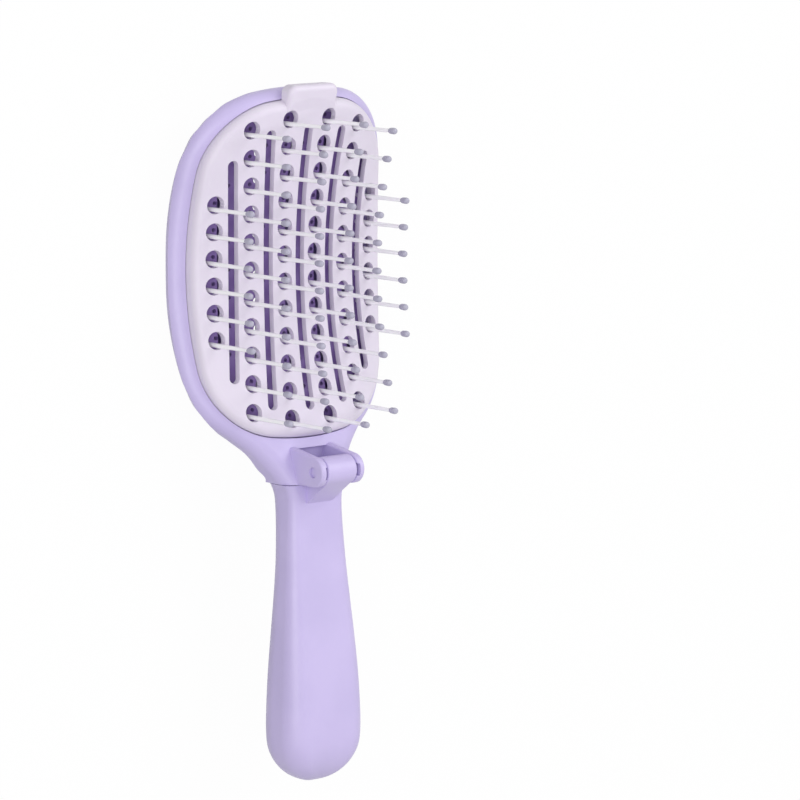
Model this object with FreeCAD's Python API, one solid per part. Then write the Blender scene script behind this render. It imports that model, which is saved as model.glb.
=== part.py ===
import FreeCAD, Part
import math
import os
from FreeCAD import Vector

# A folding hair brush with a lift-up cleaning plate. Millimetres. X runs across the head, Y along the brush
# with the head at +Y and the handle at -Y, and Z along the pins. The origin lies on the flat rest face of
# the head's back, under the middle of the pin field.

# Head face: a saddle, convex across and hollow lengthwise. Depths below it are called drops.
FACE_R_ACROSS = 117.4
FACE_R_LENGTH = 182.0

# Outline of the head frame, seen from the front; its rim is hollower lengthwise than the plate
FRAME_HALF_W = 39.0
FRAME_HALF_L = 52.3
FRAME_SIDE_R = 200.0
FRAME_END_R = 102.0
FRAME_CORNER_R = 24.5
FRAME_WALL = 3.0
RIM_DROP = 3.6
RIM_R_LENGTH = 158.0
RIM_EDGE_R = 4.0

# Outline of the cleaning plate inside the rim
RIM_W_SIDE = 4.4
RIM_W_END = 3.0
PLATE_HALF_W = FRAME_HALF_W - RIM_W_SIDE
PLATE_HALF_L = FRAME_HALF_L - RIM_W_END
PLATE_SIDE_R = 240.0
PLATE_END_R = 97.0
PLATE_CORNER_R = 23.4
PLATE_THICK = 1.9
PLATE_EDGE_R = 2.6
PLATE_SKIRT_WALL = 1.8
PLATE_GAP = 0.25

# Ledge inside the frame: the plate's skirt comes down on it, the pin carrier bears on its underside
LEDGE_RECESS = 0.9
LEDGE_THICK = 1.0
SEAT_GAP = 0.25
FIT_GAP = 0.06
LEDGE_W_SIDE = 2.0
LEDGE_W_END = 3.4
THROAT_HALF_W = PLATE_HALF_W - LEDGE_W_SIDE
THROAT_HALF_L = PLATE_HALF_L - LEDGE_W_END
BAY_END_WALL = 5.4
BAY_HALF_W = FRAME_HALF_W - FRAME_WALL
BAY_HALF_L = FRAME_HALF_L - BAY_END_WALL
BAY_SIDE_R = 170.0
BAY_END_R = 110.0
BAY_CORNER_R = 23.0
BAY_SHIFT_Y = -1.0

# Back of the head: a shallow belly with a flat rest face, rising to the tip, the edges and the neck
REST_FRONT_Y = 6.0
REST_REAR_Y = -34.0
REST_DEPTH = 0.3
BELLY_TIP_R = 96.0
BELLY_FLAT_X = 10.0
BELLY_SIDE_R = 250.0
BELLY_CORNER_RISE = 11.0
BELLY_CORNER_Y = -5.0
BELLY_EDGE_RISE = 4.4
BELLY_EDGE_W = 4.0
BELLY_EDGE_RUNOUT = 0.75
BELLY_STEPS_X = 24
BELLY_STEPS_Y = 36

# Neck and the seam between head and handle
NECK_LENGTH = 10.05
SEAM_Y = -FRAME_HALF_L - NECK_LENGTH
SEAM_GAP = 0.15
SEAM_BACK_DROP = 4.2
SEAM_BACK_SLOPE = 0.28
NECK_HALF_W = 6.2
NECK_FLARE_R = 42.0

# Pin columns from the middle outwards, as shares of the plate's half-width and half-length: place at the
# middle, spread at the end, number of pins, half-length of the column
PIN_COLUMNS = ((0.1590, 0.0450, 12, 0.8802), (0.4899, 0.0757, 11, 0.8266), (0.8295, 0.0, 6, 0.3965))
PIN_HOLE_R = 2.6
PIN_SHIFT_Y = -1.35
PIN_ROOT_R = 0.72
PIN_R = 0.56
PIN_REACH = 15.8
PIN_FOOT_R = 1.3
PIN_FOOT_THICK = 0.9
TIP_R = 0.94
TIP_LENGTH = 3.0
TIP_WIDEST = 0.45

# Slots, as shares of the plate's half-width and half-length: place at the middle, place at the end and
# half-length
SLOTS = ((0.0, 0.0, 0.8398), (0.3252, 0.3773, 0.8215), (0.6575, 0.7023, 0.6531))
SLOT_W = 3.2
CARRIER_THICK = 1.6
WINDOW_W = 2.6
WINDOW_L = 6.4
WINDOW_BRIDGE = 1.5
AIR_HOLE_R = 0.6
AIR_HOLE_X = 3.45
COVER_VENTS = ((0.1214, 0.1562, 0.8), (0.3813, 0.4393, 0.76), (0.6575, 0.7023, 0.62))
COVER_VENT_W = 3.8
COVER_THICK = 1.6
COVER_RIB_W = 1.2
SIDE_CLEAR = 3.284

# Lift tab of the plate and the notch that it passes through
TAB_HALF_W = 9.0
TAB_OVERHANG = 1.0
TAB_END_Y = FRAME_HALF_L + TAB_OVERHANG
TAB_LENGTH = 9.5
TAB_RAMP = 5.5
TAB_ROOT_Y = TAB_END_Y - TAB_LENGTH
TAB_RISE = 0.5
TAB_EDGE_R = 1.5
TAB_CORNER_R = 2.7
NOTCH_DEPTH = 2.2
NOTCH_GAP = 0.3
NOTCH_EDGE_R = 1.5

# Hinge on the front of the neck
HINGE_SETBACK = 4.45
HINGE_Y = SEAM_Y + HINGE_SETBACK
HINGE_RISE = 15.25
EAR_R = 4.4
EAR_ROOT_FLARE = 2.5
EAR_THICK = 2.4
EAR_OUTER_X = 8.0
EAR_EDGE_R = 0.6
POCKET_DEPTH = 1.8
POCKET_LEAD = 1.2
BARREL_R = 4.25
BARREL_SIDE_GAP = 0.25
TRUNNION_R = 1.55
TRUNNION_GAP = 0.05
TRUNNION_RECESS = 0.8
GROOVE_W = 3.6
GROOVE_DEPTH = 0.8
WEB_HALF_W = 4.7
WEB_FOOT_L = 6.0
WEB_LEAN = 28.0

# Handle: half-width, front and back heights above the crown and corner radii, at the seam and at the grip
HANDLE_WALL = 2.0
HANDLE_LENGTH = 88.85
HANDLE_END_Y = SEAM_Y - HANDLE_LENGTH
HANDLE_DOME = 14.0
DOME_PARTS = (0.22, 0.42, 0.6, 0.75, 0.87, 0.95, 0.985)
HANDLE_STEPS = 8
FLARE_RUN = 6.0
FLARE_PARTS = (0.0, 0.3, 0.65)
MIN_R = 0.8
WAIST_HALF_W = 9.7
GRIP_HALF_W = 14.1
SEAM_FRONT_RISE = 8.3
GRIP_FRONT_RISE = 13.7
WAIST_BACK_DROP = 3.3
WAIST_FROM_SEAM = 22.0
GRIP_BACK_DROP = 5.4
SEAM_FRONT_R = 2.4
GRIP_FRONT_R = 6.4
SEAM_BACK_R = 6.0
GRIP_BACK_R = 9.2
PARTING_RISE = 2.5
PEG_FROM_SEAM = (16.0, 42.0, 68.0)
PEG_R = 1.25
PEG_BOSS_R = 2.7
PEG_LENGTH = 3.5
PEG_GAP = 0.08

# Stack of the head from the ledge down to the rest face, which sets the height of the crown
TALL = 60.0
FUZZ = 0.0001
FACE_DEEP = FACE_R_ACROSS / 2
LEDGE_TOP = RIM_DROP + LEDGE_RECESS
LEDGE_UNDER = LEDGE_TOP + LEDGE_THICK
CARRIER_TOP = LEDGE_UNDER + FIT_GAP
CARRIER_UNDER = CARRIER_TOP + CARRIER_THICK
SIDE_SAG = FACE_R_ACROSS - math.sqrt(FACE_R_ACROSS ** 2 - BAY_HALF_W ** 2)
CROWN_Z = SIDE_SAG + CARRIER_UNDER + SIDE_CLEAR + COVER_THICK
SEAM_BACK_Z = CROWN_Z - SEAM_BACK_DROP
HINGE_Z = CROWN_Z + HINGE_RISE
PEG_YS = [SEAM_Y - distance for distance in PEG_FROM_SEAM]


def face_z(x, y, drop=0.0, length_r=FACE_R_LENGTH):
    """Height of the saddle face, or of a surface that lies below it by drop, at a point of the plan."""
    sag = FACE_R_ACROSS - drop - math.sqrt((FACE_R_ACROSS - drop) ** 2 - x ** 2)
    return CROWN_Z + length_r - math.sqrt((length_r + drop + sag) ** 2 - y ** 2)


def rim_z(x, y, drop=RIM_DROP):
    """Height of the rim's front, or of a surface parallel to it."""
    return face_z(x, y, drop, RIM_R_LENGTH)


def arc(a, b, c):
    return Part.Arc(Vector(*a), Vector(*b), Vector(*c)).toShape()


def line(a, b):
    return Part.makeLine(Vector(*a), Vector(*b))


def prism(wire, z_low, z_high):
    """Solid over a plan outline drawn at z = 0."""
    face = Part.Face(wire)
    face.translate(Vector(0, 0, z_low))
    return face.extrude(Vector(0, 0, z_high - z_low))


def saddle_layer(top_drop, under_drop, length_r=FACE_R_LENGTH):
    """Solid between two surfaces parallel to the face, wider and longer than the head."""
    half_x = FRAME_HALF_W + FRAME_WALL
    half_turn = math.degrees(math.asin((TAB_END_Y - SEAM_Y) / length_r))
    ends = []
    for drop in (top_drop, under_drop):
        radius = FACE_R_ACROSS - drop
        low = CROWN_Z - FACE_R_ACROSS + math.sqrt(radius ** 2 - half_x ** 2)
        ends.append(((-half_x, 0, low), (0, 0, CROWN_Z - drop), (half_x, 0, low)))
    top, under = ends
    wire = Part.Wire([arc(*top), line(top[2], under[2]), arc(*reversed(under)), line(under[0], top[0])])
    face = Part.Face(wire)
    pivot = Vector(0, 0, CROWN_Z + length_r)
    face.rotate(pivot, Vector(1, 0, 0), -half_turn)
    return face.revolve(pivot, Vector(1, 0, 0), 2 * half_turn)


def corner_centre(half_w, half_l, side_r, end_r, corner_r):
    """Centre of the arc that joins a side arc and an end arc inside them."""
    side_x = half_w - side_r
    end_y = half_l - end_r
    reach_side = side_r - corner_r
    reach_end = end_r - corner_r
    span = math.hypot(side_x, end_y)
    along = (reach_side ** 2 - reach_end ** 2 + span ** 2) / (2 * span)
    off = math.sqrt(reach_side ** 2 - along ** 2)
    ux, uy = -side_x / span, end_y / span
    return side_x + along * ux - off * uy, along * uy + off * ux


def toward(origin, target, distance):
    """Point at a distance from origin on the ray through target."""
    dx, dy = target[0] - origin[0], target[1] - origin[1]
    span = math.hypot(dx, dy)
    return origin[0] + dx / span * distance, origin[1] + dy / span * distance


def barrel_points(half_w, half_l, side_r, end_r, corner_r):
    """Tangent points of the first quarter of an outline with bowed sides and ends, and its corner middle."""
    centre = corner_centre(half_w, half_l, side_r, end_r, corner_r)
    on_side = toward((half_w - side_r, 0), centre, side_r)
    on_end = toward((0, half_l - end_r), centre, end_r)
    middle = toward(centre, (centre[0] + 1, centre[1] + 1), corner_r)
    return centre, on_side, middle, on_end


def barrel_wire(half_w, half_l, side_r, end_r, corner_r):
    """Closed outline of eight tangent arcs: two bowed sides, two bowed ends, four corners."""
    _, side, mid, end = barrel_points(half_w, half_l, side_r, end_r, corner_r)
    edges = []
    for sx, sy in ((1, 1), (-1, 1), (-1, -1), (1, -1)):
        edges.append(arc((sx * side[0], sy * side[1], 0), (sx * mid[0], sy * mid[1], 0),
                         (sx * end[0], sy * end[1], 0)))
    for sy in (1, -1):
        edges.append(arc((end[0], sy * end[1], 0), (0, sy * half_l, 0), (-end[0], sy * end[1], 0)))
    for sx in (1, -1):
        edges.append(arc((sx * side[0], side[1], 0), (sx * half_w, 0, 0), (sx * side[0], -side[1], 0)))
    return Part.Wire(Part.__sortEdges__(edges))


def plate_wire(offset=0.0):
    return barrel_wire(PLATE_HALF_W + offset, PLATE_HALF_L + offset, PLATE_SIDE_R + offset,
                       PLATE_END_R + offset, PLATE_CORNER_R + offset)


def bay_wire(half_w, half_l):
    """Outline inside the frame, set back from the shallow tip."""
    wire = barrel_wire(half_w, half_l, BAY_SIDE_R, BAY_END_R, BAY_CORNER_R)
    wire.translate(Vector(0, BAY_SHIFT_Y, 0))
    return wire


def head_outline():
    """Frame outline whose handle end flares into the neck and stops at the seam."""
    centre, side, mid, end = barrel_points(FRAME_HALF_W, FRAME_HALF_L, FRAME_SIDE_R,
                                           FRAME_END_R, FRAME_CORNER_R)
    flare_x = NECK_HALF_W + NECK_FLARE_R
    reach = FRAME_CORNER_R + NECK_FLARE_R
    flare = (flare_x, -centre[1] - math.sqrt(reach ** 2 - (flare_x - centre[0]) ** 2))
    low_centre = (centre[0], -centre[1])
    meet = toward(low_centre, flare, FRAME_CORNER_R)
    half_seam = flare_x - math.sqrt(NECK_FLARE_R ** 2 - (SEAM_Y - flare[1]) ** 2)
    flare_mid = toward(flare, ((meet[0] + half_seam) / 2, (meet[1] + SEAM_Y) / 2), NECK_FLARE_R)
    low_side = (side[0], -side[1])
    low_mid = toward(low_centre, ((low_side[0] + meet[0]) / 2, (low_side[1] + meet[1]) / 2), FRAME_CORNER_R)
    edges = [arc((end[0], end[1], 0), (0, FRAME_HALF_L, 0), (-end[0], end[1], 0)),
             line((half_seam, SEAM_Y, 0), (-half_seam, SEAM_Y, 0))]
    for sx in (1, -1):
        for a, b, c in ((end, mid, side), (side, (FRAME_HALF_W, 0), low_side),
                        (low_side, low_mid, meet), (meet, flare_mid, (half_seam, SEAM_Y))):
            edges.append(arc((sx * a[0], a[1], 0), (sx * b[0], b[1], 0), (sx * c[0], c[1], 0)))
    return Part.Wire(Part.__sortEdges__(edges)), half_seam


def depth_inside(x, y):
    """Distance from a point of the plan to the frame's bowed outline, negative outside it."""
    x, y = abs(x), abs(y)
    centre, side, _, end = barrel_points(FRAME_HALF_W, FRAME_HALF_L, FRAME_SIDE_R,
                                         FRAME_END_R, FRAME_CORNER_R)
    turn, first, last = (math.atan2(p[1] - centre[1], p[0] - centre[0]) for p in ((x, y), side, end))
    if first <= turn <= last:
        return FRAME_CORNER_R - math.hypot(x - centre[0], y - centre[1])
    from_side = FRAME_SIDE_R - math.hypot(x - FRAME_HALF_W + FRAME_SIDE_R, y)
    from_end = FRAME_END_R - math.hypot(x, y - FRAME_HALF_L + FRAME_END_R)
    return min(from_side, from_end)


def edge_roll(depth):
    """Share of the edge's rise: a parabola up to the outline, which levels off beyond it."""
    reach = max(1 - depth / BELLY_EDGE_W, 0)
    if reach < 1:
        return reach ** 2
    return 1 + BELLY_EDGE_RUNOUT * (1 - math.exp(2 * (1 - reach) / BELLY_EDGE_RUNOUT))


def belly_z(x, y):
    """Height of the back: flat in the middle, rising as arcs, and by an S curve down the neck."""
    rise = max(abs(x) - BELLY_FLAT_X, 0) ** 2 / (2 * BELLY_SIDE_R)
    if y > REST_FRONT_Y:
        rise += BELLY_TIP_R - math.sqrt(BELLY_TIP_R ** 2 - (y - REST_FRONT_Y) ** 2)
    if y < REST_REAR_Y:
        length = REST_REAR_Y - SEAM_Y
        t = (REST_REAR_Y - y) / length
        climb = SEAM_BACK_Z + REST_DEPTH - BELLY_EDGE_RISE * (1 + BELLY_EDGE_RUNOUT)
        rise += climb * (3 - 2 * t) * t ** 2 + SEAM_BACK_SLOPE * length * (t - 1) * t ** 2
    if y < BELLY_CORNER_Y:
        reach = (BELLY_CORNER_Y - y) / FRAME_HALF_W
        rise += BELLY_CORNER_RISE * (x / FRAME_HALF_W) ** 2 * reach ** 2
    return rise + BELLY_EDGE_RISE * edge_roll(depth_inside(x, y)) - REST_DEPTH


def above_back(lift=0.0):
    """Everything above the back, raised by lift, as a solid that spans the head."""
    half_x = FRAME_HALF_W + FRAME_WALL
    start, end = SEAM_Y, TAB_END_Y + FRAME_WALL
    grid = []
    for i in range(BELLY_STEPS_X + 1):
        x = half_x * (2 * i / BELLY_STEPS_X - 1)
        ys = [start + (end - start) * j / BELLY_STEPS_Y for j in range(BELLY_STEPS_Y + 1)]
        grid.append([Vector(x, y, belly_z(x, y) + lift) for y in ys])
    skin = Part.BSplineSurface()
    skin.interpolate(grid)
    above = skin.toShape().extrude(Vector(0, 0, TALL))
    return above.common(box((-TALL, TALL), (-TALL * 2, TALL * 2), (lift, TALL * 2)))


def bowed(a, b, c):
    """Arc through three points, or the straight line when they lie in a row."""
    if abs(a[0] - b[0]) < FIT_GAP / 10:
        return line(a, c)
    return arc(a, b, c)


def slot_cutter(x_mid, x_end, half_length, width):
    """Bowed slot with round ends, right through the head."""
    half = width / 2
    run = half_length - half
    edges = [bowed((x_end - half, -run, 0), (x_mid - half, 0, 0), (x_end - half, run, 0)),
             arc((x_end - half, run, 0), (x_end, run + half, 0), (x_end + half, run, 0)),
             bowed((x_end + half, run, 0), (x_mid + half, 0, 0), (x_end + half, -run, 0)),
             arc((x_end + half, -run, 0), (x_end, -run - half, 0), (x_end - half, -run, 0))]
    return prism(Part.Wire(edges), -TALL, TALL)


def slot_rows(shares):
    """Middle and end positions and half-lengths of all slots, the outer ones on both sides."""
    rows = []
    for x_mid, x_end, half_length in shares:
        for side in ((1, -1) if x_mid else (1,)):
            half_w = side * PLATE_HALF_W
            rows.append((x_mid * half_w, x_end * half_w, half_length * PLATE_HALF_L))
    return rows


def pin_places():
    """Hole centres of the six columns, from the left column to the right one."""
    columns = []
    for x_mid, spread, count, half_length in PIN_COLUMNS:
        column = []
        for i in range(count):
            t = 2 * i / (count - 1) - 1
            column.append(((x_mid + spread * t ** 2) * PLATE_HALF_W, t * half_length * PLATE_HALF_L))
        columns.append(column)
    left = [[(-x, y) for x, y in column] for column in reversed(columns)]
    return left + columns


def cylinder_z(x, y, radius, z_low, z_high):
    return Part.makeCylinder(radius, z_high - z_low, Vector(x, y, z_low))


def cylinder_x(y, z, radius, x_low, x_high):
    return Part.makeCylinder(radius, x_high - x_low, Vector(x_low, y, z), Vector(1, 0, 0))


def box(x, y, z):
    """Box from (low, high) pairs."""
    return Part.makeBox(x[1] - x[0], y[1] - y[0], z[1] - z[0], Vector(x[0], y[0], z[0]))


def mid_point(edge):
    return edge.valueAt((edge.FirstParameter + edge.LastParameter) / 2)


def round_edges(shape, radius, wanted):
    """Round the edges whose middle point is wanted."""
    return shape.makeFillet(radius, [edge for edge in shape.Edges if wanted(mid_point(edge))])


def on_face(point, height, drop):
    return abs(point.z - height(point.x, point.y, drop)) < FIT_GAP / 2


def lift_tab():
    """Finger tab at the plate's tip: a ramp up from the plate, then a pad over the rim's notch."""
    under = rim_z(0, FRAME_HALF_L) - NOTCH_DEPTH + NOTCH_GAP
    block = box((-TAB_HALF_W, TAB_HALF_W), (TAB_ROOT_Y, TAB_END_Y), (under, TALL))
    block = round_edges(block, TAB_CORNER_R, lambda p: p.y > TAB_END_Y - FIT_GAP and abs(p.x) > FIT_GAP)
    tab = block.common(saddle_layer(-TAB_RISE, FACE_DEEP))
    tab = round_edges(tab, TAB_EDGE_R, lambda p: on_face(p, face_z, -TAB_RISE) and p.y > TAB_ROOT_Y + FIT_GAP)
    ramp_y = TAB_ROOT_Y + TAB_RAMP
    x = -TAB_HALF_W - TAB_EDGE_R
    corners = [(x, TAB_ROOT_Y, face_z(TAB_HALF_W, TAB_ROOT_Y, FIT_GAP)),
               (x, ramp_y, face_z(0, ramp_y, -TAB_RISE)),
               (x, ramp_y, TALL),
               (x, TAB_ROOT_Y, TALL)]
    wedge = Part.Face(Part.makePolygon([Vector(*c) for c in corners + corners[:1]]))
    return tab.cut(wedge.extrude(Vector(-2 * x, 0, 0)))


def cleaning_plate():
    """Holed and slotted saddle plate with a rolled edge, a short skirt and the lift tab."""
    skirt_drop = LEDGE_TOP - SEAT_GAP
    blank = prism(plate_wire(), -TALL, TALL).common(saddle_layer(0.0, skirt_drop))
    blank = round_edges(blank, PLATE_EDGE_R, lambda p: on_face(p, face_z, 0.0))
    inner = prism(plate_wire(-PLATE_SKIRT_WALL), -TALL, TALL)
    hollow = inner.common(saddle_layer(PLATE_THICK, FACE_DEEP))
    plate = blank.cut(hollow)
    cutters = [slot_cutter(*row, SLOT_W) for row in slot_rows(SLOTS)]
    for column in pin_places():
        cutters += [cylinder_z(x, y, PIN_HOLE_R, -TALL, TALL) for x, y in column]
    return plate.fuse(lift_tab()).cut(cutters)


def rim_notch():
    """Cutter for the tab's notch; it leaves the two ends of the rim rounded."""
    half = TAB_HALF_W + NOTCH_GAP
    rim = rim_z(half, FRAME_HALF_L)
    floor = rim_z(0, FRAME_HALF_L) - NOTCH_DEPTH
    low = rim - NOTCH_EDGE_R
    bend = NOTCH_EDGE_R * (1 - math.sqrt(0.5))
    y = PLATE_HALF_L - FRAME_WALL
    edges = [line((-half, y, floor), (half, y, floor)),
             line((half + NOTCH_EDGE_R, y, TALL), (-half - NOTCH_EDGE_R, y, TALL))]
    for side in (1, -1):
        edges += [line((side * half, y, floor), (side * half, y, low)),
                  arc((side * half, y, low), (side * (half + bend), y, rim - bend),
                      (side * (half + NOTCH_EDGE_R), y, rim)),
                  line((side * (half + NOTCH_EDGE_R), y, rim), (side * (half + NOTCH_EDGE_R), y, TALL))]
    wire = Part.Wire(Part.__sortEdges__(edges))
    return Part.Face(wire).extrude(Vector(0, TAB_END_Y - y, 0))


def hinge_ear(side):
    """Round-ended plate on the neck with the trunnion's bore and its lead-in groove."""
    inner_x = EAR_OUTER_X - EAR_THICK
    y0, y1 = HINGE_Y - EAR_R, HINGE_Y + EAR_R
    x = side * inner_x
    wire = Part.Wire([line((x, y0, CROWN_Z), (x, y0, HINGE_Z)),
                      arc((x, y0, HINGE_Z), (x, HINGE_Y, HINGE_Z + EAR_R), (x, y1, HINGE_Z)),
                      line((x, y1, HINGE_Z), (x, y1 + EAR_ROOT_FLARE, CROWN_Z)),
                      line((x, y1 + EAR_ROOT_FLARE, CROWN_Z), (x, y0, CROWN_Z))])
    ear = Part.Face(wire).extrude(Vector(side * EAR_THICK, 0, 0))
    ear = round_edges(ear, EAR_EDGE_R, lambda p: p.z > CROWN_Z + FIT_GAP and
                      abs(abs(p.x) - inner_x - EAR_THICK / 2) > EAR_THICK / 4)
    bore = cylinder_x(HINGE_Y, HINGE_Z, TRUNNION_R + TRUNNION_GAP, -EAR_OUTER_X * 2, EAR_OUTER_X * 2)
    groove = box((-inner_x - GROOVE_DEPTH, inner_x + GROOVE_DEPTH),
                 (HINGE_Y - GROOVE_W / 2, HINGE_Y + GROOVE_W / 2), (HINGE_Z, TALL))
    return ear.cut([bore, groove])


def ear_pocket():
    """Cutter for the hollow between the ears, in front of the knuckle."""
    inner_x = EAR_OUTER_X - EAR_THICK
    end_y = HINGE_Y + EAR_R + POCKET_LEAD
    return box((-inner_x, inner_x), (HINGE_Y, end_y), (rim_z(0, end_y) - POCKET_DEPTH, HINGE_Z))


def head_frame():
    """Rim, side wall, neck and hinge ears of the head, open at the front and the back."""
    outline, half_seam = head_outline()
    blank = prism(outline, -TALL, TALL).common(saddle_layer(RIM_DROP, FACE_DEEP, RIM_R_LENGTH))
    blank = round_edges(blank, RIM_EDGE_R, lambda p: on_face(p, rim_z, RIM_DROP) and p.y > SEAM_Y + FIT_GAP)
    blank = blank.common([above_back()], FUZZ)
    opening = prism(plate_wire(PLATE_GAP), -TALL, TALL).common(saddle_layer(-PLATE_EDGE_R, LEDGE_TOP))
    throat = prism(bay_wire(THROAT_HALF_W, THROAT_HALF_L), -TALL, TALL)
    cavity = prism(bay_wire(BAY_HALF_W, BAY_HALF_L), -TALL, TALL).common(saddle_layer(LEDGE_UNDER, FACE_DEEP))
    frame = blank.fuse([hinge_ear(1), hinge_ear(-1)])
    return frame.cut([opening, throat, cavity, rim_notch(), ear_pocket()])


def pin_carrier():
    """Saddle-shaped bed under the plate that holds the pins by their feet and lets air through."""
    bed = prism(bay_wire(BAY_HALF_W - FIT_GAP, BAY_HALF_L - FIT_GAP), -TALL, TALL)
    bed = bed.common(saddle_layer(CARRIER_TOP, CARRIER_UNDER))
    cutters = []
    for column in pin_places():
        for x, y in column:
            foot_top = face_z(x, y + PIN_SHIFT_Y, CARRIER_UNDER) + PIN_FOOT_THICK
            cutters.append(cylinder_z(x, y + PIN_SHIFT_Y, PIN_ROOT_R + FIT_GAP, -TALL, TALL))
            cutters.append(cylinder_z(x, y + PIN_SHIFT_Y, PIN_FOOT_R + FIT_GAP, -TALL, foot_top))
            for side in (1, -1):
                cutters.append(cylinder_z(x + side * AIR_HOLE_X, y, AIR_HOLE_R, -TALL, TALL))
    step = WINDOW_L + WINDOW_BRIDGE
    for x_mid, x_end, half_length in slot_rows(SLOTS):
        count = int((2 * half_length + WINDOW_BRIDGE) / step)
        for i in range(count):
            y = (i - (count - 1) / 2) * step
            window = slot_cutter(0.0, 0.0, WINDOW_L / 2, WINDOW_W)
            window.translate(Vector(x_mid + (x_end - x_mid) * (y / half_length) ** 2, y, 0))
            cutters.append(window)
    return bed.cut(cutters)


def pin(x, y):
    """Nylon pin: a round foot under the carrier and a slightly tapered shaft up to the tip."""
    foot_low = face_z(x, y + PIN_SHIFT_Y, CARRIER_UNDER)
    foot_top = foot_low + PIN_FOOT_THICK
    foot = cylinder_z(x, y + PIN_SHIFT_Y, PIN_FOOT_R, foot_low, foot_top)
    root = Vector(x, y + PIN_SHIFT_Y, foot_low)
    return foot.fuse(Part.makeCone(PIN_ROOT_R, PIN_R, tip_base(x, y) - foot_low, root)).removeSplitter()


def tip_base(x, y):
    return face_z(x, y) + PIN_REACH - TIP_LENGTH / 2


def pin_tip(x, y):
    """Egg-shaped bead on the pin's end: flat below, widest in the middle, round on top."""
    base = tip_base(x, y)
    middle = base + TIP_LENGTH * TIP_WIDEST
    top = base + TIP_LENGTH
    skin = Part.BSplineCurve()
    skin.interpolate(Points=[Vector(PIN_R, 0, base), Vector(TIP_R, 0, middle), Vector(0, 0, top)],
                     InitialTangent=Vector(TIP_R, 0, TIP_R), FinalTangent=Vector(-TIP_R, 0, 0))
    wire = Part.Wire([line((0, 0, base), (PIN_R, 0, base)), skin.toShape(), line((0, 0, top), (0, 0, base))])
    bead = Part.Face(wire).revolve(Vector(0, 0, 0), Vector(0, 0, 1), 360)
    bead.translate(Vector(x, y + PIN_SHIFT_Y, 0))
    return bead


def back_cover():
    """Curved rear panel with long vents; its edge rib presses the carrier against the ledge."""
    outer = prism(bay_wire(BAY_HALF_W - FIT_GAP, BAY_HALF_L - FIT_GAP), -TALL, TALL)
    panel = outer.common(above_back()).cut(above_back(COVER_THICK))
    inside = FIT_GAP + COVER_RIB_W
    ring = outer.cut(prism(bay_wire(BAY_HALF_W - inside, BAY_HALF_L - inside), -TALL, TALL))
    rib = ring.common(above_back(COVER_THICK / 2)).common(saddle_layer(CARRIER_UNDER + FIT_GAP, FACE_DEEP))
    return panel.fuse(rib).cut([slot_cutter(*row, COVER_VENT_W) for row in slot_rows(COVER_VENTS)])


def handle_section(y, half_w, top, low, r_top, r_low):
    """Closed outline across the handle: flat front and back with round corners."""
    edges = [line((-half_w + r_top, y, top), (half_w - r_top, y, top)),
             line((-half_w + r_low, y, low), (half_w - r_low, y, low))]
    k = 1 - math.sqrt(0.5)
    for side in (1, -1):
        x = side * half_w
        in_top, in_low = x - side * r_top, x - side * r_low
        bend_top, bend_low = x - side * k * r_top, x - side * k * r_low
        edges += [arc((in_top, y, top), (bend_top, y, top - k * r_top), (x, y, top - r_top)),
                  line((x, y, top - r_top), (x, y, low + r_low)),
                  arc((x, y, low + r_low), (bend_low, y, low + k * r_low), (in_low, y, low))]
    return Part.Wire(Part.__sortEdges__(edges))


def ease(t):
    """Smooth step from 0 to 1, level at both ends."""
    t = min(max(t, 0.0), 1.0)
    return t * t * (3 - 2 * t)


def blend(start, end, t):
    return start + (end - start) * t


def handle_sizes(y, half_seam):
    """Half-width, front and back heights and corner radii of the handle at a place along it."""
    t = (SEAM_Y - y) / (SEAM_Y - HANDLE_END_Y - HANDLE_DOME)
    waist = ease((SEAM_Y - y) / WAIST_FROM_SEAM)
    swell = ease((SEAM_Y - WAIST_FROM_SEAM - y) / (SEAM_Y - WAIST_FROM_SEAM - HANDLE_END_Y - HANDLE_DOME))
    back = blend(SEAM_BACK_DROP, WAIST_BACK_DROP, waist) + (GRIP_BACK_DROP - WAIST_BACK_DROP) * swell
    flare = (half_seam - WAIST_HALF_W) * max(1 - (SEAM_Y - y) / FLARE_RUN, 0) ** 2
    half_w = blend(WAIST_HALF_W, GRIP_HALF_W, ease(t)) + flare
    front = blend(SEAM_FRONT_RISE, GRIP_FRONT_RISE, ease(t))
    return half_w, front, -back, blend(SEAM_FRONT_R, GRIP_FRONT_R, t), blend(SEAM_BACK_R, GRIP_BACK_R, t)


def handle_body(inset):
    """Handle as one solid, shrunk by inset: sections down its length and a domed end."""
    half_seam = head_outline()[1]
    start = SEAM_Y - SEAM_GAP - inset
    dome_y = HANDLE_END_Y + HANDLE_DOME
    depth = HANDLE_DOME - inset
    waist_y = start - FLARE_RUN
    rows = [(start - FLARE_RUN * part, 1.0) for part in FLARE_PARTS]
    rows += [(waist_y + (dome_y - waist_y) * i / HANDLE_STEPS, 1.0) for i in range(HANDLE_STEPS + 1)]
    rows += [(dome_y - depth * part, math.sqrt(1 - part ** 2)) for part in DOME_PARTS]
    wires = []
    for y, scale in rows:
        half_w, front, back, r_front, r_back = handle_sizes(max(y, dome_y), half_seam)
        centre = CROWN_Z + (front + back) / 2
        half_t = ((front - back) / 2 - inset) * scale
        wires.append(handle_section(y, (half_w - inset) * scale, centre + half_t, centre - half_t,
                                    max(r_front - inset, MIN_R) * scale, max(r_back - inset, MIN_R) * scale))
    return Part.makeLoft(wires, True, False)


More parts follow.
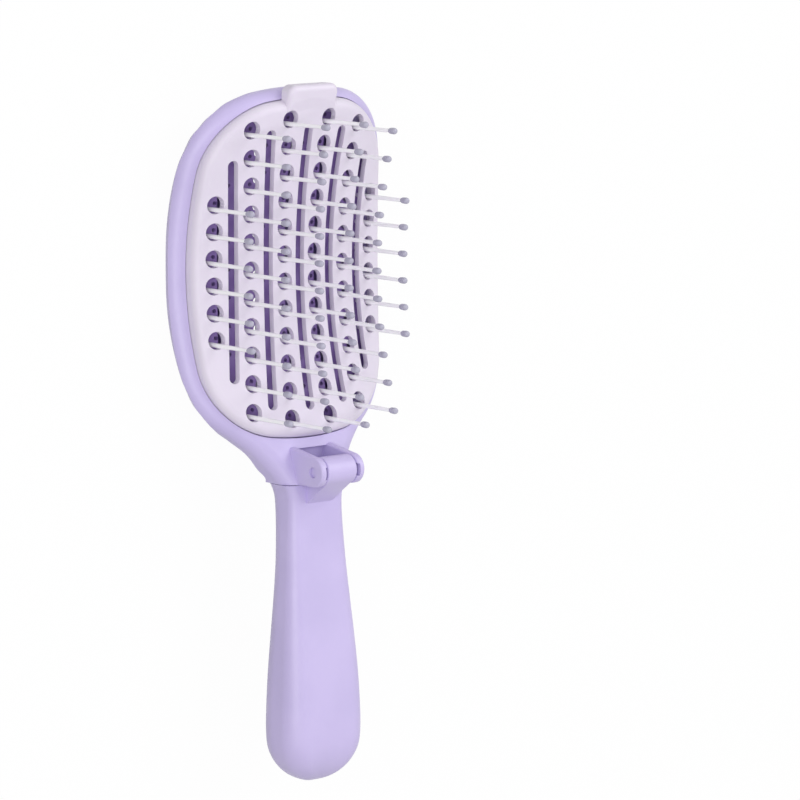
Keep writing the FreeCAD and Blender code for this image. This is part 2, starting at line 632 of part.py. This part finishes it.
def handle_shells():
    """Front and rear halves of the hollow handle, parted on a flat plane and located by pegs."""
    outer = handle_body(0.0)
    parting = CROWN_Z + PARTING_RISE
    bosses = [cylinder_z(0, y, PEG_BOSS_R, -TALL, TALL).common(outer) for y in PEG_YS]
    walls = outer.cut(handle_body(HANDLE_WALL)).fuse(bosses)
    span = (-TALL, TALL)
    reach = (HANDLE_END_Y - TALL, SEAM_Y)
    front = walls.common(box(span, reach, (parting, 2 * TALL)))
    rear = walls.common(box(span, reach, (-TALL, parting)))
    socket_top = parting + PEG_LENGTH + PEG_GAP * 5
    front = front.cut([cylinder_z(0, y, PEG_R + PEG_GAP, -TALL, socket_top) for y in PEG_YS])
    rear = rear.fuse([cylinder_z(0, y, PEG_R, parting - PEG_LENGTH, parting + PEG_LENGTH) for y in PEG_YS])
    return front.fuse(hinge_knuckle()), rear


def hinge_knuckle():
    """Barrel between the ears with a stub trunnion on each side and a web down to the handle."""
    half_barrel = EAR_OUTER_X - EAR_THICK - BARREL_SIDE_GAP
    half_trunnion = EAR_OUTER_X - TRUNNION_RECESS
    barrel = cylinder_x(HINGE_Y, HINGE_Z, BARREL_R, -half_barrel, half_barrel)
    barrel = round_edges(barrel, EAR_EDGE_R, lambda p: abs(p.x) > half_barrel - FIT_GAP)
    trunnion = cylinder_x(HINGE_Y, HINGE_Z, TRUNNION_R, -half_trunnion, half_trunnion)
    foot_z = CROWN_Z + SEAM_FRONT_RISE - HANDLE_WALL / 2
    near_y = SEAM_Y - SEAM_GAP * 4
    far_y = near_y - WEB_FOOT_L
    lean = math.radians(WEB_LEAN)
    x = -WEB_HALF_W
    corners = [(x, far_y, foot_z),
               (x, HINGE_Y - BARREL_R * math.cos(lean), HINGE_Z + BARREL_R * math.sin(lean)),
               (x, HINGE_Y, HINGE_Z),
               (x, HINGE_Y - BARREL_R * math.sin(lean), HINGE_Z - BARREL_R * math.cos(lean)),
               (x, near_y, foot_z + HANDLE_WALL),
               (x, near_y, foot_z)]
    wire = Part.makePolygon([Vector(*c) for c in corners + corners[:1]])
    web = Part.Face(wire).extrude(Vector(2 * WEB_HALF_W, 0, 0))
    return barrel.fuse([trunnion, web])


os.makedirs("parts", exist_ok=True)
head_frame().exportStep("parts/head_frame.step")
back_cover().exportStep("parts/back_cover.step")
pin_carrier().exportStep("parts/pin_carrier.step")
cleaning_plate().exportStep("parts/cleaning_plate.step")
for number, places in enumerate(pin_places(), 1):
    Part.makeCompound([pin(x, y) for x, y in places]).exportStep("parts/pins_column_%d.step" % number)
    Part.makeCompound([pin_tip(x, y) for x, y in places]).exportStep("parts/tips_column_%d.step" % number)
front_shell, rear_shell = handle_shells()
front_shell.exportStep("parts/handle_front_shell.step")
rear_shell.exportStep("parts/handle_rear_shell.step")
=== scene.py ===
import math

import bpy
from mathutils import Matrix, Vector

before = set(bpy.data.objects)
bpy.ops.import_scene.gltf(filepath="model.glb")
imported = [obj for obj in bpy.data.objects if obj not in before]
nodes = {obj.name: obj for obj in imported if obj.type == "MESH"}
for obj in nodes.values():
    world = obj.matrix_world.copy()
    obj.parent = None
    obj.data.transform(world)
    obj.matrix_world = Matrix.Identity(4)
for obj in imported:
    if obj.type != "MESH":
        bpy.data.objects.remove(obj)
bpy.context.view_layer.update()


# The camera stands over the brush's left side and looks down on the pins.
# It is a long lens, so the handle hardly tapers with distance.
VIEW_YAW = 40.524
VIEW_PITCH = 6.256
VIEW_ROLL = 5.504
VIEW_OFFSET_MM = (29.018, -38.726, 1351.827)
FACE_MIDDLE_MM = (0.0, 0.0, 17.7)
LENS_MM = 209.93
SENSOR_MM = 36.0
CLIP_NEAR = 0.05
CLIP_FAR = 20.0
MM = 0.001

to_camera = (
    Matrix.Rotation(math.radians(VIEW_YAW), 3, "Y")
    @ Matrix.Rotation(math.radians(VIEW_PITCH), 3, "X")
    @ Matrix.Rotation(math.radians(VIEW_ROLL), 3, "Z")
)
to_brush = to_camera.transposed()
camera_data = bpy.data.cameras.new("photo_camera")
camera_data.sensor_width = SENSOR_MM
camera_data.lens = LENS_MM
camera_data.clip_start = CLIP_NEAR
camera_data.clip_end = CLIP_FAR
camera = bpy.data.objects.new("photo_camera", camera_data)
camera.matrix_world = Matrix.Translation(
    (to_brush @ Vector(VIEW_OFFSET_MM) + Vector(FACE_MIDDLE_MM)) * MM
) @ to_brush.to_4x4()
bpy.context.scene.collection.objects.link(camera)
bpy.context.scene.camera = camera
bpy.context.scene.view_settings.view_transform = "Standard"


# The brush lies on a plain white studio table under soft light.
# The table is white to the eye and still takes a faint shadow of the brush.
TABLE_HALF = 4.0
TABLE_GREY = (0.35, 0.35, 0.355, 1.0)
TABLE_GLOW = 1.05
TABLE_SHADOW_SHARE = 0.08
SKY_COLOUR = (1.0, 1.0, 1.0, 1.0)
SKY_STRENGTH = 0.67
SKY_STRENGTH_TO_EYE = 1.0
# Name, place and size in metres, power in watts
LAMPS = (
    ("right_softbox", (0.69, 0.56, 0.875), 0.90, 5.5),
    ("left_softbox", (-0.94, 0.065, 0.90), 0.90, 6.4),
)


def seen_by_eye(tree):
    """1 for rays that reach the eye straight, by gloss or through a clear piece."""
    path = tree.nodes.new("ShaderNodeLightPath")
    glossy = tree.nodes.new("ShaderNodeMath")
    glossy.operation = "MAXIMUM"
    tree.links.new(path.outputs["Is Camera Ray"], glossy.inputs[0])
    tree.links.new(path.outputs["Is Glossy Ray"], glossy.inputs[1])
    through = tree.nodes.new("ShaderNodeMath")
    through.operation = "MAXIMUM"
    tree.links.new(glossy.outputs[0], through.inputs[0])
    tree.links.new(path.outputs["Is Transmission Ray"], through.inputs[1])
    return through.outputs[0]


table_mesh = bpy.data.meshes.new("studio_table")
table_mesh.from_pydata(
    [
        (-TABLE_HALF, -TABLE_HALF, 0.0),
        (TABLE_HALF, -TABLE_HALF, 0.0),
        (TABLE_HALF, TABLE_HALF, 0.0),
        (-TABLE_HALF, TABLE_HALF, 0.0),
    ],
    [],
    [(0, 1, 2, 3)],
)
table = bpy.data.objects.new("studio_table", table_mesh)
bpy.context.scene.collection.objects.link(table)
table_paint = bpy.data.materials.new("table_white")
table_paint.use_nodes = True
tree = table_paint.node_tree
tree.nodes.clear()
output = tree.nodes.new("ShaderNodeOutputMaterial")
matte = tree.nodes.new("ShaderNodeBsdfDiffuse")
matte.inputs["Color"].default_value = TABLE_GREY
glow = tree.nodes.new("ShaderNodeEmission")
glow.inputs["Color"].default_value = SKY_COLOUR
glow.inputs["Strength"].default_value = TABLE_GLOW
share = tree.nodes.new("ShaderNodeMath")
share.operation = "MULTIPLY"
share.inputs[1].default_value = 1.0 - TABLE_SHADOW_SHARE
tree.links.new(seen_by_eye(tree), share.inputs[0])
both = tree.nodes.new("ShaderNodeMixShader")
tree.links.new(share.outputs[0], both.inputs["Fac"])
tree.links.new(matte.outputs[0], both.inputs[1])
tree.links.new(glow.outputs[0], both.inputs[2])
tree.links.new(both.outputs[0], output.inputs["Surface"])
table_mesh.materials.append(table_paint)

sky = bpy.data.worlds.new("studio_sky")
sky.use_nodes = True
tree = sky.node_tree
tree.nodes.clear()
output = tree.nodes.new("ShaderNodeOutputWorld")
soft = tree.nodes.new("ShaderNodeBackground")
soft.inputs["Color"].default_value = SKY_COLOUR
soft.inputs["Strength"].default_value = SKY_STRENGTH
white = tree.nodes.new("ShaderNodeBackground")
white.inputs["Color"].default_value = SKY_COLOUR
white.inputs["Strength"].default_value = SKY_STRENGTH_TO_EYE
both = tree.nodes.new("ShaderNodeMixShader")
tree.links.new(seen_by_eye(tree), both.inputs["Fac"])
tree.links.new(soft.outputs[0], both.inputs[1])
tree.links.new(white.outputs[0], both.inputs[2])
tree.links.new(both.outputs[0], output.inputs["Surface"])
bpy.context.scene.world = sky

for lamp_name, place, lamp_size, power in LAMPS:
    lamp_data = bpy.data.lights.new(lamp_name, "AREA")
    lamp_data.shape = "DISK"
    lamp_data.size = lamp_size
    lamp_data.energy = power
    lamp = bpy.data.objects.new(lamp_name, lamp_data)
    lamp.location = place
    lamp.rotation_euler = (-Vector(place)).to_track_quat("-Z", "Y").to_euler()
    bpy.context.scene.collection.objects.link(lamp)


# The head frame is one lilac moulding: rim, side wall, neck and hinge ears.
# It is satin ABS from a finely blasted mould, so it has a soft broad gloss.
LILAC_LIGHT = (0.566, 0.491, 0.778, 1.0)
LILAC_DEEP = (0.536, 0.466, 0.746, 1.0)
LILAC_GLOSS = (0.36, 0.44)
LILAC_GRAIN = 0.000012
LILAC_GLOW_THROUGH = 0.08
PIGMENT_CLOUDS_PER_M = 55.0
PIGMENT_DETAIL = 3.0
PIGMENT_RAMP = (0.36, 0.64)
SHEEN_SPOTS_PER_M = 240.0
SHEEN_DETAIL = 4.0
SHEEN_RAMP = (0.3, 0.7)
BLAST_PITS_PER_M = 3200.0
BLAST_DETAIL = 2.0
BLAST_STRENGTH = 0.35
PLASTIC_IOR = 1.5
GLOW_COLOUR_REACH = (1.0, 0.85, 1.0)
GLOW_REACH = 0.0012


def moulded_plastic(name, light, deep, gloss, grain, glow_through=0.0):
    """Moulded plastic: cloudy pigment, uneven sheen and the mould's fine grain."""
    plastic = bpy.data.materials.new(name)
    plastic.use_nodes = True
    tree = plastic.node_tree
    shader = tree.nodes["Principled BSDF"]
    place = tree.nodes.new("ShaderNodeTexCoord")

    cloud = tree.nodes.new("ShaderNodeTexNoise")
    cloud.inputs["Scale"].default_value = PIGMENT_CLOUDS_PER_M
    cloud.inputs["Detail"].default_value = PIGMENT_DETAIL
    tree.links.new(place.outputs["Object"], cloud.inputs["Vector"])
    pigment = tree.nodes.new("ShaderNodeValToRGB")
    pigment.color_ramp.elements[0].position = PIGMENT_RAMP[0]
    pigment.color_ramp.elements[0].color = deep
    pigment.color_ramp.elements[1].position = PIGMENT_RAMP[1]
    pigment.color_ramp.elements[1].color = light
    tree.links.new(cloud.outputs["Fac"], pigment.inputs["Fac"])
    tree.links.new(pigment.outputs["Color"], shader.inputs["Base Color"])

    rubbed = tree.nodes.new("ShaderNodeTexNoise")
    rubbed.inputs["Scale"].default_value = SHEEN_SPOTS_PER_M
    rubbed.inputs["Detail"].default_value = SHEEN_DETAIL
    tree.links.new(place.outputs["Object"], rubbed.inputs["Vector"])
    sheen = tree.nodes.new("ShaderNodeMapRange")
    sheen.inputs["From Min"].default_value = SHEEN_RAMP[0]
    sheen.inputs["From Max"].default_value = SHEEN_RAMP[1]
    sheen.inputs["To Min"].default_value = gloss[0]
    sheen.inputs["To Max"].default_value = gloss[1]
    tree.links.new(rubbed.outputs["Fac"], sheen.inputs["Value"])
    tree.links.new(sheen.outputs["Result"], shader.inputs["Roughness"])

    blast = tree.nodes.new("ShaderNodeTexNoise")
    blast.inputs["Scale"].default_value = BLAST_PITS_PER_M
    blast.inputs["Detail"].default_value = BLAST_DETAIL
    tree.links.new(place.outputs["Object"], blast.inputs["Vector"])
    bump = tree.nodes.new("ShaderNodeBump")
    bump.inputs["Strength"].default_value = BLAST_STRENGTH
    bump.inputs["Distance"].default_value = grain
    tree.links.new(blast.outputs["Fac"], bump.inputs["Height"])
    tree.links.new(bump.outputs["Normal"], shader.inputs["Normal"])

    shader.inputs["IOR"].default_value = PLASTIC_IOR
    shader.inputs["Subsurface Weight"].default_value = glow_through
    shader.inputs["Subsurface Radius"].default_value = GLOW_COLOUR_REACH
    shader.inputs["Subsurface Scale"].default_value = GLOW_REACH
    return plastic


def finish_node(node_name, plastic):
    """The whole CAD piece takes one plastic."""
    mesh = nodes[node_name].data
    mesh.materials.clear()
    mesh.materials.append(plastic)


lilac = moulded_plastic(
    "lilac_satin", LILAC_LIGHT, LILAC_DEEP, LILAC_GLOSS, LILAC_GRAIN, LILAC_GLOW_THROUGH
)
finish_node("head_frame", lilac)


# The back cover closes the head under the pin bed and has the vent slots.
# It is the same lilac plastic, welded to the frame all round.
finish_node("back_cover", lilac)


# The pin carrier is the bed that the pins stand in, seen through the slots.
# It is a darker copy of the lilac, painted shade for the bed down under the plate, with vent
# windows between the pins.
BED_PAINTED_SHADE_LIGHT = (0.300, 0.196, 0.500, 1.0)
BED_PAINTED_SHADE_DEEP = (0.280, 0.180, 0.474, 1.0)
BED_GLOSS = (0.42, 0.5)
bed_painted_shade = moulded_plastic("bed_lilac_painted_shade", BED_PAINTED_SHADE_LIGHT, BED_PAINTED_SHADE_DEEP, BED_GLOSS, LILAC_GRAIN)
finish_node("pin_carrier", bed_painted_shade)


# The pins are slim white nylon shafts on small round feet, in six columns.
# Nylon lets some light through, so they stay bright on their shaded side.
NYLON_LIGHT = (0.970, 0.955, 0.990, 1.0)
NYLON_DEEP = (0.955, 0.940, 0.980, 1.0)
NYLON_GLOSS = (0.18, 0.26)
NYLON_GRAIN = 0.000006
NYLON_GLOW_THROUGH = 0.3
NYLON_SPECULAR = 0.8
COLUMNS = 6
nylon = moulded_plastic(
    "white_nylon", NYLON_LIGHT, NYLON_DEEP, NYLON_GLOSS, NYLON_GRAIN, NYLON_GLOW_THROUGH
)
nylon.node_tree.nodes["Principled BSDF"].inputs["Specular IOR Level"].default_value = NYLON_SPECULAR
for column in range(1, COLUMNS + 1):
    finish_node(f"pins_column_{column}", nylon)


# The tips are small ovoid beads of grey-lilac resin, one on each pin's end.
# They are glossier than the pins because they are dipped, not moulded.
BEAD_LIGHT = (0.430, 0.415, 0.520, 1.0)
BEAD_DEEP = (0.392, 0.380, 0.480, 1.0)
BEAD_GLOSS = (0.22, 0.3)
BEAD_GRAIN = 0.000004
BEAD_GLOW_THROUGH = 0.1
bead = moulded_plastic(
    "bead_grey_lilac", BEAD_LIGHT, BEAD_DEEP, BEAD_GLOSS, BEAD_GRAIN, BEAD_GLOW_THROUGH
)
for column in range(1, COLUMNS + 1):
    finish_node(f"tips_column_{column}", bead)


# The cleaning plate lifts off over the pins and takes the hair with it.
# It is one pale moulding with the pin holes, the long slots and the lift tab.
PLATE_LIGHT = (0.728, 0.672, 0.784, 1.0)
PLATE_DEEP = (0.700, 0.645, 0.755, 1.0)
PLATE_GLOSS = (0.4, 0.48)
PLATE_GLOW_THROUGH = 0.3
pale = moulded_plastic(
    "pale_satin", PLATE_LIGHT, PLATE_DEEP, PLATE_GLOSS, LILAC_GRAIN, PLATE_GLOW_THROUGH
)
finish_node("cleaning_plate", pale)


# The handle is two lilac half shells, joined along the sides.
# The front one has the hinge knuckle that turns between the neck's ears.
finish_node("handle_front_shell", lilac)
finish_node("handle_rear_shell", lilac)
